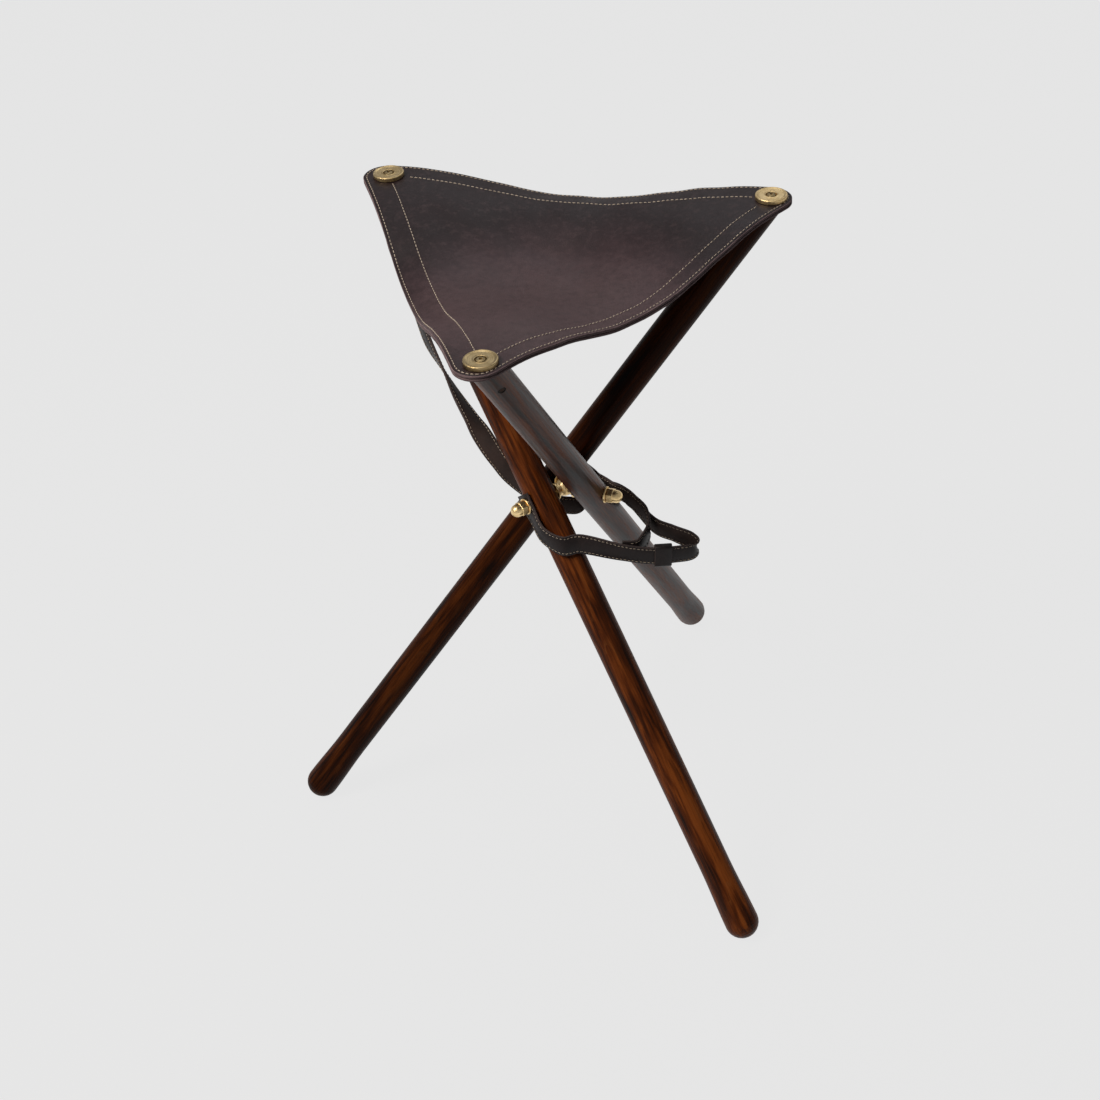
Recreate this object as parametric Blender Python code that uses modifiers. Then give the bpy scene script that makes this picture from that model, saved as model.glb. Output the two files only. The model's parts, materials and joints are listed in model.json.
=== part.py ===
"""Folding tripod stool: three round legs crossed on a brass three-way bolt, with a leather sling seat.

Each leg turns on one arm of the bolt. The seat is screwed to the three leg heads, so it stops the legs
when they are spread. A long leather strap hangs from one corner of the seat, runs round the crossing and
ties the folded legs.
"""

from math import cos, pi, radians, sin, sqrt, tan

import bmesh
import bpy
from mathutils import Matrix, Vector

# Driving dimensions, in metres and degrees
LEG_DIAMETER = 0.030
FOOT_DIAMETER = 0.033
FOOT_SWELL = 0.060  # length over which the leg swells to its foot
FOOT_FLAT = 0.0004  # depth of the worn flat under the foot
LEG_BELOW_PIVOT = 0.451  # pivot to the middle of the rounded foot
LEG_TO_DISC = 0.336  # pivot to the middle of the brass disc, along the leg
OPEN_TILT = 37.85  # lean of an open leg from upright
PIVOT_OFFSET = 0.027  # stool axis to a leg's axis

STUD_DIAMETER = 0.008
SHOULDER_DIAMETER = 0.012
CORE_DIAMETER = 0.017
STUD_IN_NUT = 0.007  # thread that the nuts over the straps still hold
WASHER_DIAMETER = 0.016
WASHER_THICKNESS = 0.0016
NUT_ACROSS_FLATS = 0.013
NUT_HEX_HEIGHT = 0.0065
NUT_HEIGHT = 0.0150
NUT_WALL = 0.0025  # brass left over the blind end of the thread

DISC_DIAMETER = 0.029
DISC_THICKNESS = 0.0042
DISC_RECESS_DIAMETER = 0.0104
DISC_RECESS_DEPTH = 0.0024
SCREW_DIAMETER = 0.005
SCREW_LENGTH = 0.016  # short, because it stands upright in a leaning leg
SCREW_HEAD_DIAMETER = 0.0086
SCREW_HEAD_HEIGHT = 0.0020
SCREW_SOCKET = 0.0030
SCREW_SOCKET_DEPTH = 0.0012
DOWEL_DIAMETER = 0.007
DOWEL_DROP = 0.034  # dowel below the brass disc, along the leg
DOWEL_TURN = 46.0  # dowel's direction round the leg, from the bolt's arm

PANEL_THICKNESS = 0.0026
BORDER_THICKNESS = 0.0024
CORNER_RADIUS = 0.0215  # leather left round the middle of a brass disc
BORDER_LAP = 0.004  # border's inner edge, inside the line from disc to disc
BORDER_INNER_RADIUS = 0.014
EDGE_SAG = 0.029  # how far the middle of a seat edge hangs below the leg heads
CORNER_FLAT = 0.0205  # leather held level round a disc
SAG_REACH = 0.250  # distance from a corner over which the leather sinks
LIFT_REACH = 0.090  # distance from a tighter edge over which the leather eases to the rest
SEAT_SET_OVER = 0.0025  # how far the leather sits off the discs, away from the left leg's head
SEAT_SET_BACK = 0.0022  # and towards the left leg's side of the bolt

# Shares of the edge sag, for the edge across from each leg's corner
EDGE_LIFT = {"left": 0.0, "front": 0.0, "rear": 0.45}
EDGE_DROOP = {"left": 0.20, "front": -0.14, "rear": 0.12}  # bend of the strip outside the sewing

STRAP_WIDTH = 0.019
STRAP_THICKNESS = 0.0024
STRAP_SEWN_IN = 0.009  # strap's line of sewing, outside the line from disc to disc
STRAP_STANDOFF = 0.0020  # middle of the strap to a leg's side, where it runs round one
KEEPER_LENGTH = 0.0165
KEEPER_THICKNESS = 0.0020
KEEPER_ROOM = 0.0008

GAP = 0.0003  # between pieces that touch
SEWN_ROOM = 0.0010  # between the border and the strap sewn under it
THREAD_GAP = 0.0003

# Fineness of round and soft forms
LEG_SIDES = 32
HARDWARE_SIDES = 24
BORE_SIDES = 16
CORNER_STEPS = 8
SIDE_STEPS = 14
BORDER_STEPS = 4
STRAP_STEPS = 4
ROUTE_STEPS_TO_DISC = 336  # steps in which the straps' routes are laid out, from a leg's pivot to its disc

# Worked out from the driving dimensions
TILT = radians(OPEN_TILT)
ROUTE_STEP = LEG_TO_DISC / ROUTE_STEPS_TO_DISC
LEG_RADIUS = LEG_DIAMETER / 2
FOOT_RADIUS = FOOT_DIAMETER / 2
STUD_RADIUS = STUD_DIAMETER / 2
SCREW_RADIUS = SCREW_DIAMETER / 2
DOWEL_RADIUS = DOWEL_DIAMETER / 2
UP = Vector((0, 0, 1))
HUB_HEIGHT = LEG_BELOW_PIVOT * cos(TILT) + FOOT_RADIUS - FOOT_FLAT
HUB = Vector((0, 0, HUB_HEIGHT))
DISC_MIDDLE = HUB_HEIGHT + LEG_TO_DISC * cos(TILT)
PANEL_MIDDLE = DISC_MIDDLE - DISC_THICKNESS / 2 - GAP - PANEL_THICKNESS / 2
BORDER_OFFSET = PANEL_THICKNESS / 2 + GAP + BORDER_THICKNESS / 2
LEG_HEAD = PANEL_MIDDLE - BORDER_OFFSET - BORDER_THICKNESS / 2 - GAP
SCREW_BELOW_DISC_TOP = DISC_THICKNESS / 2 - DISC_RECESS_DEPTH + GAP
STRAP_STACK = STRAP_STANDOFF + STRAP_THICKNESS / 2 + GAP
PIVOT_REACH = PIVOT_OFFSET + LEG_RADIUS
STUD_LENGTH = PIVOT_REACH + STRAP_STACK + 2 * GAP + WASHER_THICKNESS + STUD_IN_NUT

# Each leg is named by where its foot stands; the angle is that of its arm of the bolt
ARM_ANGLES = {"left": 90.0, "front": 210.0, "rear": 330.0}
STRAPPED = ("left", "front")  # legs whose nut also holds a strap


def arm(leg):
    """Direction of the bolt's arm that carries a leg, level and outward."""
    angle = radians(ARM_ANGLES[leg])
    return Vector((cos(angle), sin(angle), 0))


def lean(leg):
    """Level direction towards which an open leg leans."""
    return arm(leg).cross(UP)


def along_leg(leg):
    """Direction of an open leg, upward."""
    return cos(TILT) * UP + sin(TILT) * lean(leg)


def on_axis(leg, distance):
    """Point on an open leg's axis, at a distance above its pivot."""
    return HUB + PIVOT_OFFSET * arm(leg) + distance * along_leg(leg)


def beside(leg, distance, turn, clear=STRAP_STANDOFF):
    """Point beside an open leg: turn 0 is the arm's side, 90 the side that faces down at the head."""
    under = cos(TILT) * lean(leg) - sin(TILT) * UP
    side = cos(radians(turn)) * arm(leg) + sin(radians(turn)) * under
    return on_axis(leg, distance) + (LEG_RADIUS + clear) * side


CORNERS = {leg: on_axis(leg, LEG_TO_DISC) for leg in ARM_ANGLES}
FEET = {leg: on_axis(leg, -LEG_BELOW_PIVOT) for leg in ARM_ANGLES}
CORNER_DISTANCE = CORNERS["left"].to_2d().length
SIDE_LENGTH = CORNER_DISTANCE * sqrt(3)


# Scene, materials and object helpers

def clear_scene():
    for obj in list(bpy.data.objects):
        bpy.data.objects.remove(obj, do_unlink=True)


def new_collection(name):
    collection = bpy.data.collections.new(name)
    bpy.context.scene.collection.children.link(collection)
    return collection


def new_material(name, colour, roughness, metallic=0.0):
    material = bpy.data.materials.new(name)
    material.use_nodes = True
    shader = material.node_tree.nodes["Principled BSDF"]
    shader.inputs["Base Color"].default_value = (*colour, 1.0)
    shader.inputs["Roughness"].default_value = roughness
    shader.inputs["Metallic"].default_value = metallic
    return material


clear_scene()
PARTS = new_collection("tripod_stool")
CUTTERS = new_collection("tripod_stool_cutters")


def new_empty(name, parent=None):
    empty = bpy.data.objects.new(name, None)
    empty.parent = parent
    PARTS.objects.link(empty)
    return empty


def new_object(name, mesh, parent, material=None, matrix=None):
    """A part where it has a material, and otherwise a cutter."""
    obj = bpy.data.objects.new(name, mesh)
    obj.parent = parent
    if matrix is not None:
        obj.matrix_local = matrix
    if material is None:
        CUTTERS.objects.link(obj)
        obj.hide_render = True
        obj.display_type = "WIRE"
    else:
        PARTS.objects.link(obj)
        mesh.materials.append(material)
    return obj


def mesh_from(builder, *args, **kwargs):
    """Mesh of one bmesh primitive."""
    mesh = bpy.data.meshes.new("shape")
    bm = bmesh.new()
    builder(bm, *args, **kwargs)
    bm.to_mesh(mesh)
    bm.free()
    return mesh


def cylinder(radius, depth, sides=BORE_SIDES):
    size = {"segments": sides, "radius1": radius, "radius2": radius, "depth": depth}
    return mesh_from(bmesh.ops.create_cone, cap_ends=True, **size)


def slab(size, thickness):
    shape = Matrix.Diagonal((size, size, thickness, 1))
    return mesh_from(bmesh.ops.create_cube, size=1.0, matrix=shape)


def boolean(target, other, operation="DIFFERENCE"):
    modifier = target.modifiers.new(f"{operation.lower()} {other.name}", "BOOLEAN")
    modifier.operation = operation
    modifier.solver = "EXACT"
    modifier.object = other


def profile_mesh(points, closed=False):
    """Edges of a turned profile, given as radius and height."""
    mesh = bpy.data.meshes.new("profile")
    count = len(points)
    edges = [(i, (i + 1) % count) for i in range(count if closed else count - 1)]
    mesh.from_pydata([(radius, 0, height) for radius, height in points], edges, [])
    return mesh


def turn_profile(obj, sides):
    screw = obj.modifiers.new("turned", "SCREW")
    screw.steps = screw.render_steps = sides
    screw.use_merge_vertices = True
    screw.merge_threshold = 0.00001
    screw.use_smooth_shade = True


def turned(name, points, sides, parent, material=None, matrix=None, closed=False):
    obj = new_object(name, profile_mesh(points, closed), parent, material, matrix)
    turn_profile(obj, sides)
    return obj


def arc(radius, centre, start, end, steps):
    """Profile points on an arc, from one angle in degrees to another."""
    angles = [radians(start + (end - start) * i / steps) for i in range(steps + 1)]
    return [(centre[0] + radius * cos(a), centre[1] + radius * sin(a)) for a in angles]


def ease(t):
    """Smooth step from 0 to 1."""
    t = min(max(t, 0.0), 1.0)
    return t * t * (3 - 2 * t)


def facing(direction, origin):
    """Matrix that stands a shape's Z axis on a direction, at an origin."""
    turn = UP.rotation_difference(direction).to_matrix().to_4x4()
    return Matrix.Translation(origin) @ turn


def skin(name, rows, parent, material, thickness, loop_rows=False, loop_points=False):
    """A sheet through rows of points, with its thickness half on each side."""
    mesh = bpy.data.meshes.new(name)
    bm = bmesh.new()
    grid = [[bm.verts.new(point) for point in row] for row in rows]
    pairs = list(zip(grid, grid[1:]))
    if loop_rows:
        pairs.append((grid[-1], grid[0]))
    for first, second in pairs:
        count = len(first)
        for i in range(count if loop_points else count - 1):
            j = (i + 1) % count
            bm.faces.new((first[i], first[j], second[j], second[i]))
    bmesh.ops.remove_doubles(bm, verts=bm.verts, dist=0.00001)
    bmesh.ops.recalc_face_normals(bm, faces=bm.faces)
    bm.to_mesh(mesh)
    bm.free()
    mesh.shade_smooth()
    obj = new_object(name, mesh, parent, material)
    solid = obj.modifiers.new("leather", "SOLIDIFY")
    solid.thickness = thickness
    solid.offset = 0.0
    solid.use_even_offset = True
    return obj


WOOD = new_material("stained_beech", (0.050, 0.024, 0.020), 0.32)
PLUG_WOOD = new_material("plug_beech", (0.065, 0.034, 0.028), 0.40)
BRASS = new_material("turned_brass", (0.62, 0.46, 0.20), 0.30, 1.0)
LEATHER = new_material("saddle_leather", (0.052, 0.036, 0.040), 0.55)
STRAP_LEATHER = new_material("strap_leather", (0.036, 0.026, 0.027), 0.55)


# Frame: the stool stands on the floor with the middle of its box over the origin

BOX_X = (FEET["left"].x - FOOT_RADIUS, CORNERS["left"].x + CORNER_RADIUS - SEAT_SET_OVER)
BOX_Y = (FEET["front"].y - FOOT_RADIUS, FEET["rear"].y + FOOT_RADIUS)
STOOL = new_empty("stool")
STOOL.location = (-sum(BOX_X) / 2, -sum(BOX_Y) / 2, 0)


def pivot_empty(leg):
    """Empty on a leg's turning axis: Y along the bolt's arm, Z along the leg."""
    empty = new_empty(f"{leg}_pivot", STOOL)
    empty.location = HUB
    empty.rotation_euler = (0, TILT, radians(ARM_ANGLES[leg] - 90))
    return empty


PIVOTS = {leg: pivot_empty(leg) for leg in ARM_ANGLES}


# Legs

def leg_profile():
    """Leg from above its head down to the tip of its foot."""
    head = (LEG_HEAD - HUB_HEIGHT) / cos(TILT) + LEG_RADIUS * tan(TILT) + LEG_DIAMETER
    swell_top = FOOT_SWELL - LEG_BELOW_PIVOT
    points = [(0, head), (LEG_RADIUS, head), (LEG_RADIUS, LEG_DIAMETER), (LEG_RADIUS, -LEG_DIAMETER)]
    swell_steps = 5
    for i in range(swell_steps):
        t = i / swell_steps
        radius = LEG_RADIUS + (FOOT_RADIUS - LEG_RADIUS) * ease(t)
        points.append((radius, swell_top - FOOT_SWELL * t))
    points += arc(FOOT_RADIUS, (0, -LEG_BELOW_PIVOT), 0, -90, 7)
    points[-1] = (0, points[-1][1])
    return points


LEVEL_SIZE = 4 * LEG_TO_DISC
LEVEL_DEPTH = LEG_TO_DISC / 2
HEAD_LEVEL = new_object("head_level", slab(LEVEL_SIZE, LEVEL_DEPTH), STOOL)
HEAD_LEVEL.location.z = LEG_HEAD + LEVEL_DEPTH / 2
FLOOR_LEVEL = new_object("floor_level", slab(LEVEL_SIZE, LEVEL_DEPTH), STOOL)
FLOOR_LEVEL.location.z = -LEVEL_DEPTH / 2


def make_leg(leg):
    pivot = PIVOTS[leg]
    axis = Matrix.Translation((0, PIVOT_OFFSET, 0))
    obj = turned(f"leg_{leg}", leg_profile(), LEG_SIDES, pivot, WOOD, axis)
    boolean(obj, HEAD_LEVEL)
    boolean(obj, FLOOR_LEVEL)

    across = axis @ Matrix.Rotation(pi / 2, 4, "X")
    bore = cylinder(STUD_RADIUS + THREAD_GAP, 2 * LEG_DIAMETER)
    boolean(obj, new_object(f"pivot_bore_{leg}", bore, pivot, matrix=across))

    dowel_turn = Matrix.Rotation(-radians(DOWEL_TURN), 4, "Z")
    dowel_place = axis @ Matrix.Translation((0, 0, LEG_TO_DISC - DOWEL_DROP)) @ dowel_turn
    dowel_place = dowel_place @ Matrix.Rotation(pi / 2, 4, "X")
    dowel_bore = cylinder(DOWEL_RADIUS + GAP, 2 * LEG_DIAMETER)
    boolean(obj, new_object(f"dowel_bore_{leg}", dowel_bore, pivot, matrix=dowel_place))
    dowel_length = 2 * sqrt(LEG_RADIUS**2 - DOWEL_RADIUS**2)
    new_object(f"cross_dowel_{leg}", cylinder(DOWEL_RADIUS, dowel_length), pivot, PLUG_WOOD, dowel_place)

    screw_bore = cylinder(SCREW_RADIUS + THREAD_GAP, 2 * SCREW_LENGTH)
    screw_place = Matrix.Translation(CORNERS[leg] + UP * (SCREW_BELOW_DISC_TOP - GAP))
    boolean(obj, new_object(f"screw_bore_{leg}", screw_bore, STOOL, matrix=screw_place))


# Three-way bolt with its washers and cap nuts

def make_bolt():
    core = mesh_from(bmesh.ops.create_uvsphere, u_segments=16, v_segments=8, radius=CORE_DIAMETER / 2)
    bolt = new_object("three_way_bolt", core, STOOL, BRASS, Matrix.Translation(HUB))
    core.shade_smooth()
    shoulder = PIVOT_OFFSET - LEG_RADIUS - WASHER_THICKNESS - 2 * GAP
    chamfer = STUD_RADIUS / 5
    profile = [
        (0, STUD_LENGTH),
        (STUD_RADIUS - chamfer, STUD_LENGTH),
        (STUD_RADIUS, STUD_LENGTH - chamfer),
        (STUD_RADIUS, shoulder),
        (SHOULDER_DIAMETER / 2, shoulder),
        (SHOULDER_DIAMETER / 2, 0),
        (0, 0),
    ]
    for leg in ARM_ANGLES:
        place = facing(arm(leg), HUB)
        boolean(bolt, turned(f"bolt_arm_{leg}", profile, BORE_SIDES, STOOL, matrix=place), "UNION")


def make_washer(name, leg, distance):
    inner = STUD_RADIUS + THREAD_GAP
    outer = WASHER_DIAMETER / 2
    edge = WASHER_THICKNESS / 4
    profile = [
        (inner, WASHER_THICKNESS),
        (outer - edge, WASHER_THICKNESS),
        (outer, WASHER_THICKNESS - edge),
        (outer, 0),
        (inner, 0),
    ]
    matrix = facing(arm(leg), HUB + distance * arm(leg))
    turned(name, profile, HARDWARE_SIDES, STOOL, BRASS, matrix, closed=True)


def make_cap_nut(leg, distance):
    """Hexagon with a domed cap, and a blind bore for the stud."""
    matrix = facing(arm(leg), HUB + distance * arm(leg))
    flats = NUT_ACROSS_FLATS / 2
    prism = cylinder(flats / cos(pi / 6), NUT_HEX_HEIGHT, 6)
    prism.transform(Matrix.Translation((0, 0, NUT_HEX_HEIGHT / 2)))
    nut = new_object(f"cap_nut_{leg}", prism, STOOL, BRASS, matrix)
    edge = nut.modifiers.new("broken edges", "BEVEL")
    edge.width = flats / 12
    edge.segments = 1

    dome_radius = 0.96 * flats
    dome_base = NUT_HEIGHT - dome_radius
    profile = arc(dome_radius, (0, dome_base), 90, 0, 7)
    profile[0] = (0, NUT_HEIGHT)
    profile += [(dome_radius, NUT_HEX_HEIGHT / 2), (0, NUT_HEX_HEIGHT / 2)]
    boolean(nut, turned(f"nut_dome_{leg}", profile, HARDWARE_SIDES, STOOL, matrix=matrix), "UNION")

    depth = NUT_HEIGHT - NUT_WALL
    bore = cylinder(STUD_RADIUS + THREAD_GAP, 2 * depth)
    boolean(nut, new_object(f"nut_bore_{leg}", bore, STOOL, matrix=matrix))


def make_pivot_hardware(leg):
    make_washer(f"inner_washer_{leg}", leg, PIVOT_OFFSET - LEG_RADIUS - GAP - WASHER_THICKNESS)
    outer = PIVOT_REACH + GAP
    if leg in STRAPPED:
        outer = PIVOT_REACH + STRAP_STACK + GAP
    make_washer(f"outer_washer_{leg}", leg, outer)
    make_cap_nut(leg, outer + WASHER_THICKNESS + GAP)


# Seat discs and screws

def make_disc(leg):
    """Turned disc: a rounded rim, a dished face and a sunk middle for the screw head."""
    rim = DISC_DIAMETER / 2
    top = DISC_THICKNESS
    hole = SCREW_RADIUS + THREAD_GAP
    recess = DISC_RECESS_DIAMETER / 2
    dish = DISC_THICKNESS / 6
    profile = [(rim - 2 * dish, top)]
    profile += arc(1.4 * dish, (rim - 1.4 * dish, top - 1.4 * dish), 80, 0, 4)
    profile += [(rim, dish / 2), (rim - dish / 2, 0), (hole, 0)]
    floor = top - DISC_RECESS_DEPTH
    profile += [(hole, floor), (recess, floor), (recess, top - dish), (recess + dish, top - dish / 2)]
    profile += [(recess + 2.4 * dish, top - dish), (rim - 4.5 * dish, top - dish)]
    matrix = Matrix.Translation(CORNERS[leg] - UP * DISC_THICKNESS / 2)
    turned(f"seat_disc_{leg}", profile, HARDWARE_SIDES + 4, STOOL, BRASS, matrix, closed=True)


def make_screw(leg):
    """Round-headed screw with a socket and a pointed shank, driven straight down into the leg head."""
    head = SCREW_HEAD_DIAMETER / 2
    point = 2 * SCREW_DIAMETER
    profile = [
        (0, SCREW_HEAD_HEIGHT),
        (0.6 * head, SCREW_HEAD_HEIGHT),
        (0.9 * head, 0.75 * SCREW_HEAD_HEIGHT),
        (head, 0.35 * SCREW_HEAD_HEIGHT),
        (head, 0),
        (SCREW_RADIUS, 0),
        (SCREW_RADIUS, point - SCREW_LENGTH),
        (0, -SCREW_LENGTH),
    ]
    place = CORNERS[leg] + UP * SCREW_BELOW_DISC_TOP
    screw = turned(f"seat_screw_{leg}", profile, BORE_SIDES, STOOL, BRASS, Matrix.Translation(place))
    socket = cylinder(SCREW_SOCKET / 2 / cos(pi / 6), 2 * SCREW_SOCKET_DEPTH, 6)
    top = Matrix.Translation(place + UP * SCREW_HEAD_HEIGHT)
    boolean(screw, new_object(f"screw_socket_{leg}", socket, STOOL, matrix=top))


# Leather seat

def corner_hold(distance):
    """Share of a corner's height that the leather keeps at a distance from it."""
    return 1 - ease((distance - CORNER_FLAT) / (SAG_REACH - CORNER_FLAT))


SAG_DEPTH = EDGE_SAG / (1 - 2 * corner_hold(SIDE_LENGTH / 2))


def seat_drop(x, y):
    """How far the leather hangs below its level corners."""
    here = Vector((x, y))
    held = sum(corner_hold((here - corner.to_2d()).length) for corner in CORNERS.values())
    drop = SAG_DEPTH * (1 - held)
    for leg, corner in CORNERS.items():
        across = -corner.to_2d().normalized()
        beyond = here.dot(across) - CORNER_DISTANCE / 2
        along = across.cross(here) / (SIDE_LENGTH / 2 - 2 * CORNER_FLAT)
        swell = max(0.0, 1 - along * along) ** 2
        bend = (beyond + sqrt(beyond**2 + BORDER_LAP**2)) / 2 / CORNER_RADIUS
        drop += EDGE_SAG * swell * (EDGE_DROOP[leg] * bend - EDGE_LIFT[leg] * ease(1 + beyond / LIFT_REACH))
    return drop


def seat_point(point, below=0.0):
    """Point of the sagging leather over a plan point, or square below it."""
    x, y = point
    step = 0.0005
    slope_x = (seat_drop(x - step, y) - seat_drop(x + step, y)) / (2 * step)
    slope_y = (seat_drop(x, y - step) - seat_drop(x, y + step)) / (2 * step)
    normal = Vector((-slope_x, -slope_y, 1)).normalized()
    return Vector((x, y, PANEL_MIDDLE - seat_drop(x, y))) - below * normal


def seat_outline(inset, radius):
    """Rounded triangle in plan, set in from the lines between the discs, with corners of one radius."""
    corners = []
    shift = (SEAT_SET_BACK * arm("left") - SEAT_SET_OVER * lean("left")).to_2d()
    for corner in CORNERS.values():
        outward = corner.to_2d().normalized()
        centre = corner.to_2d() + shift - 2 * (inset + radius) * outward
        turns = [radians(-60 + 120 * i / CORNER_STEPS) for i in range(CORNER_STEPS + 1)]
        corners.append([centre + radius * (Matrix.Rotation(turn, 2) @ outward) for turn in turns])
    points = []
    for this, following in zip(corners, corners[1:] + corners[:1]):
        points += this
        points += [this[-1].lerp(following[0], ease(i / SIDE_STEPS)) for i in range(1, SIDE_STEPS)]
    return points


def drill_seat(obj):
    """Screw holes in the leather corners."""
    for leg, corner in CORNERS.items():
        hole = cylinder(SCREW_RADIUS + THREAD_GAP, 4 * CORNER_RADIUS)
        boolean(obj, new_object(f"{obj.name}_hole_{leg}", hole, STOOL, matrix=Matrix.Translation(corner)))


def border_plan():
    """Plan rows of the border, from the seat's edge inward."""
    outer = seat_outline(-CORNER_RADIUS, CORNER_RADIUS)
    inner = seat_outline(BORDER_LAP, BORDER_INNER_RADIUS)
    return [[a.lerp(b, k / BORDER_STEPS) for a, b in zip(outer, inner)] for k in range(BORDER_STEPS + 1)]


def make_panel():
    plan = border_plan()
    for share in (0.84, 0.68, 0.51, 0.34, 0.17, 0):
        plan.append([point * share for point in plan[BORDER_STEPS]])
    rows = [[seat_point(point) for point in row] for row in plan]
    drill_seat(skin("seat_panel", rows, STOOL, LEATHER, PANEL_THICKNESS, loop_points=True))


def make_border():
    rows = [[seat_point(point, BORDER_OFFSET) for point in row] for row in border_plan()]
    drill_seat(skin("seat_border", rows, STOOL, LEATHER, BORDER_THICKNESS, loop_points=True))


# Straps

def smooth_route(points):
    """Points on a smooth curve through the route's own points."""
    padded = [2 * points[0] - points[1], *points, 2 * points[-1] - points[-2]]
    route = []
    for a, b, c, d in zip(padded, padded[1:], padded[2:], padded[3:]):
        for i in range(STRAP_STEPS):
            t = i / STRAP_STEPS
            bend = (2 * a - 5 * b + 4 * c - d) * t * t + (3 * b - a - 3 * c + d) * t**3
            route.append(b + ((c - a) * t + bend) / 2)
    return [*route, points[-1]]


def ribbon(name, stops, parent):
    """Flat strap through stops, each a point and the direction of the strap's width there."""
    centres = smooth_route([point for point, _ in stops])
    across = smooth_route([width for _, width in stops])
    rows = []
    for i, (centre, width) in enumerate(zip(centres, across)):
        run = centres[min(i + 1, len(centres) - 1)] - centres[max(i - 1, 0)]
        side = (width - width.project(run)).normalized() * STRAP_WIDTH / 2
        rows.append([centre + side, centre - side])
    return skin(name, rows, parent, STRAP_LEATHER, STRAP_THICKNESS)


def on_stud(leg, ahead, above):
    """Point of a strap that lies against a leg's outer side, in route steps from the leg's nut."""
    return beside(leg, 0, 0) + ROUTE_STEP * (ahead * lean(leg) + above * UP)


def past_leg(leg, distance, turn, clear):
    """Point of a strap that passes a leg, with the distances in route steps."""
    return beside(leg, ROUTE_STEP * distance, turn, ROUTE_STEP * clear)


def from_hub(x, y, z):
    """Point in route steps from the middle of the bolt."""
    return HUB + ROUTE_STEP * Vector((x, y, z))


KEEPER_FROM = from_hub(93, -69, -45)
KEEPER_TO = from_hub(70, -68, -43.7)


def long_strap_stops():
    """From under the seat, past the front leg, behind the crossing, round the loop and back in front."""
    corner = CORNERS["front"].to_2d()
    inward = (CORNERS["rear"].to_2d() - corner).normalized()
    outward = Vector((inward.y, -inward.x))

    def sewn(steps, drop=0.0):
        """Stop under the border, counted from the middle of the front leg's disc."""
        below = BORDER_OFFSET + BORDER_THICKNESS / 2 + SEWN_ROOM + STRAP_THICKNESS / 2 + drop * ROUTE_STEP
        plan = corner + steps * ROUTE_STEP * inward + STRAP_SEWN_IN * outward
        width = seat_point(plan + GAP * outward) - seat_point(plan - GAP * outward)
        return seat_point(plan, below), width.normalized()

    return [
        sewn(84),
        sewn(74),
        sewn(64),
        sewn(56, 1.5),
        sewn(51, 10),
        (from_hub(-126.5, 112, 205), Vector((-0.8, 0.6, 0))),
        (from_hub(-121.5, 111, 178), Vector((-0.3, 0.9, -0.2))),
        (from_hub(-118, 116, 154), Vector((-0.3, 0.9, -0.2))),
        (from_hub(-114.5, 113.5, 133), Vector((-0.3, 0.9, -0.3))),
        (from_hub(-108.5, 101, 113.5), Vector((-0.3, 0.8, -0.4))),
        (from_hub(-98.5, 85, 93.5), Vector((0.0, 0.8, -0.4))),
        (from_hub(-89.3, 70, 74.5), Vector((0.2, 0.85, -0.1))),
        (from_hub(-78, 51, 56.5), Vector((0.1, 0.8, 0.35))),
        (from_hub(-66.5, 32.5, 38), Vector((0.05, 0.55, 0.8))),
        (from_hub(-56.5, 22, 22), Vector((0, 0.2, 0.95))),
        (past_leg("front", 26, 82, 11.2), UP),
        (past_leg("front", 5, 109, 10.2), UP),
        (past_leg("front", -9, 133, 14), UP),
        (past_leg("rear", -24.5, 159, 14.5), UP),
        (past_leg("rear", -34.5, 166, 5.2), UP),
        (past_leg("rear", -54, 213, 7), UP),
        (past_leg("rear", -64.5, 255, 9), UP),
        (past_leg("rear", -59, 316, 10), UP),
        (from_hub(79, -33, -33), UP),
        (from_hub(95, -54, -31.5), UP),
        (from_hub(109.5, -61.5, -36.5), UP),
        (from_hub(113.5, -66, -40.5), UP),
        (from_hub(108.5, -69.5, -44), UP),
        (KEEPER_FROM, UP),
        (KEEPER_TO, UP),
        (from_hub(42, -63.5, -38), UP),
        (past_leg("front", -54, -104, 7.5), UP + along_leg("front")),
        (past_leg("front", -48, -58, 6.5), UP + along_leg("front")),
        (past_leg("front", -32, -17, 4), UP),
        (beside("front", -12 * ROUTE_STEP, 0), UP),
        (beside("front", 0, 0), UP),
        (beside("front", 11 * ROUTE_STEP, 0), UP),
    ]


def tab_stops():
    """Short strap from the left leg's nut, round the rear leg, to the back of the long strap."""
    return [
        (on_stud("left", -11, 0), UP),
        (on_stud("left", 0, 0), UP),
        (on_stud("left", 12, -2), UP),
        (on_stud("left", 21, -8) - 2 * ROUTE_STEP * arm("left"), UP),
        (past_leg("rear", -40.5, 240, 14.5), UP),
        (past_leg("rear", -39, 268, 7), UP + along_leg("rear")),
        (past_leg("rear", -33.5, 314, 6), UP + along_leg("rear")),
        (from_hub(58.5, -7, -15), UP),
        (from_hub(64.5, -18, -16.5), UP),
        (from_hub(72.5, -31, -22.5), UP),
        (from_hub(72, -45, -31.5), UP),
        (from_hub(60, -57, -40), UP),
        (from_hub(44, -58.5, -38.5), UP),
    ]


def pierce(strap, leg):
    """Hole for a stud of the three-way bolt."""
    hole = cylinder(STUD_RADIUS + THREAD_GAP, STRAP_WIDTH)
    place = facing(arm(leg), beside(leg, 0, 0))
    boolean(strap, new_object(f"{strap.name}_hole", hole, STOOL, matrix=place))


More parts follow.
